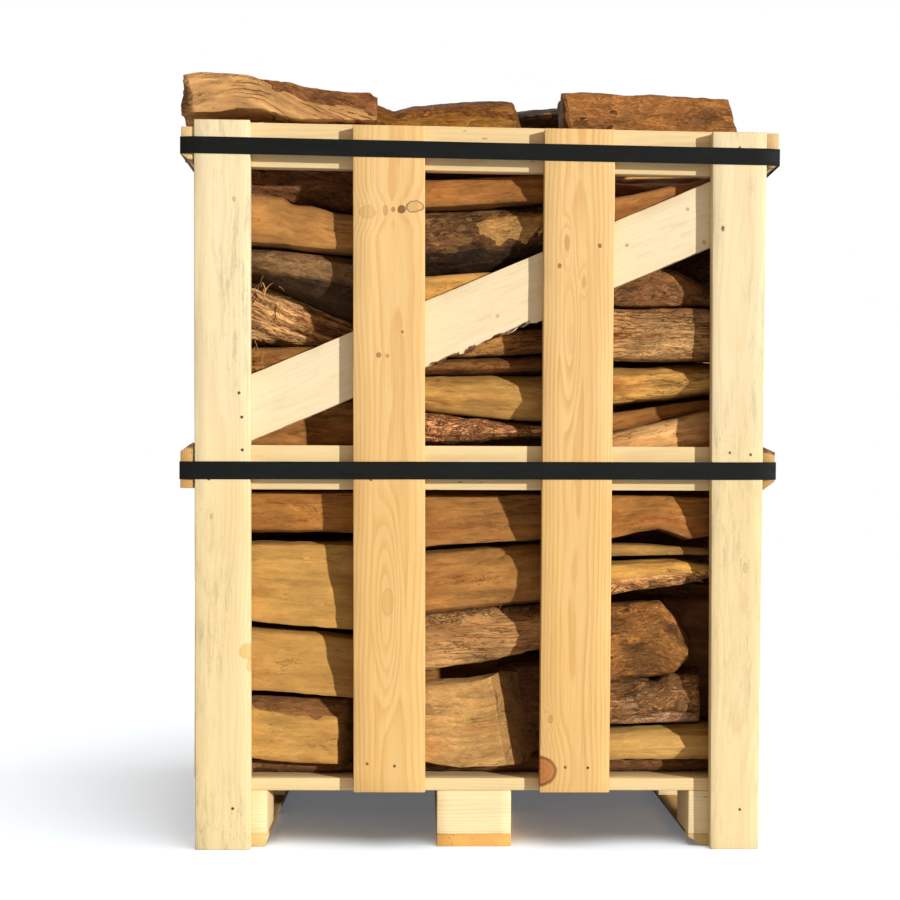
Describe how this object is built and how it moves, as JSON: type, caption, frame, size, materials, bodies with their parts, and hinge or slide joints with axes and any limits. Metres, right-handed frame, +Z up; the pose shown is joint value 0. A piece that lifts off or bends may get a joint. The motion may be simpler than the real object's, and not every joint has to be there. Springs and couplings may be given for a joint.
{
  "type": "firewood bundle",
  "caption": "Split firewood logs stacked in a slatted softwood crate on a block pallet, with a diagonal brace on the front and back and two flat black straps round it.",
  "frame": {"origin": "on the floor under the middle of the crate's bounding box", "axes": "+X to the right across the braced front, front face towards -Y, +Z up"},
  "size_m": [1.0508, 0.803, 1.36],
  "materials": {
    "pale_pine": "rough-sawn pale softwood with faint grey streaks, matt",
    "warm_pine": "rough-sawn yellow pine with arched grain and knots, matt",
    "block_pine": "sawn pallet block, end grain to the sides, matt",
    "skid_pine": "rough-sawn skid board, warmer and dirtier than the deck, matt",
    "split_firewood": "split hardwood faces with rough bark, matt",
    "strap_band": "flat woven-look polyester strapping, matt black",
    "seal_steel": "crimped steel strap seal"
  },
  "bodies": {
    "root": {"skid_left": "skid_pine", "block_left_front": "block_pine", "block_left_centre": "block_pine", "block_left_back": "block_pine", "skid_middle": "skid_pine", "block_middle_front": "block_pine", "block_middle_centre": "block_pine", "block_middle_back": "block_pine", "skid_right": "skid_pine", "block_right_front": "block_pine", "block_right_centre": "block_pine", "block_right_back": "block_pine", "deck_board_1": "pale_pine", "deck_board_2": "pale_pine", "deck_board_3": "pale_pine", "deck_board_4": "pale_pine", "deck_board_5": "pale_pine", "front_corner_left": "pale_pine", "front_corner_right": "pale_pine", "front_board_left": "warm_pine", "front_board_right": "warm_pine", "front_rail_top": "pale_pine", "front_rail_middle": "pale_pine", "front_brace": "pale_pine", "back_corner_left": "pale_pine", "back_corner_right": "pale_pine", "back_board_left": "warm_pine", "back_board_right": "warm_pine", "back_rail_top": "pale_pine", "back_rail_middle": "pale_pine", "back_brace": "pale_pine", "left_side_corner_front": "pale_pine", "left_side_board_front": "pale_pine", "left_side_board_back": "pale_pine", "left_side_corner_back": "pale_pine", "left_side_rail_top": "pale_pine", "left_side_rail_middle": "pale_pine", "right_side_corner_front": "pale_pine", "right_side_board_front": "pale_pine", "right_side_board_back": "pale_pine", "right_side_corner_back": "pale_pine", "right_side_rail_top": "pale_pine", "right_side_rail_middle": "pale_pine", "strap_upper": "strap_band", "strap_seal_upper": "seal_steel", "strap_lower": "strap_band", "strap_seal_lower": "seal_steel", "logs_left_column": "split_firewood", "logs_middle_column": "split_firewood", "logs_right_column": "split_firewood", "top_log_left_1": "split_firewood", "top_log_left_2": "split_firewood", "top_log_left_3": "split_firewood", "top_log_middle_1": "split_firewood", "top_log_middle_2": "split_firewood", "top_log_middle_3": "split_firewood", "top_log_middle_4": "split_firewood", "top_log_right_1": "split_firewood", "top_log_right_2": "split_firewood", "top_log_right_3": "split_firewood"}
  },
  "joints": []
}
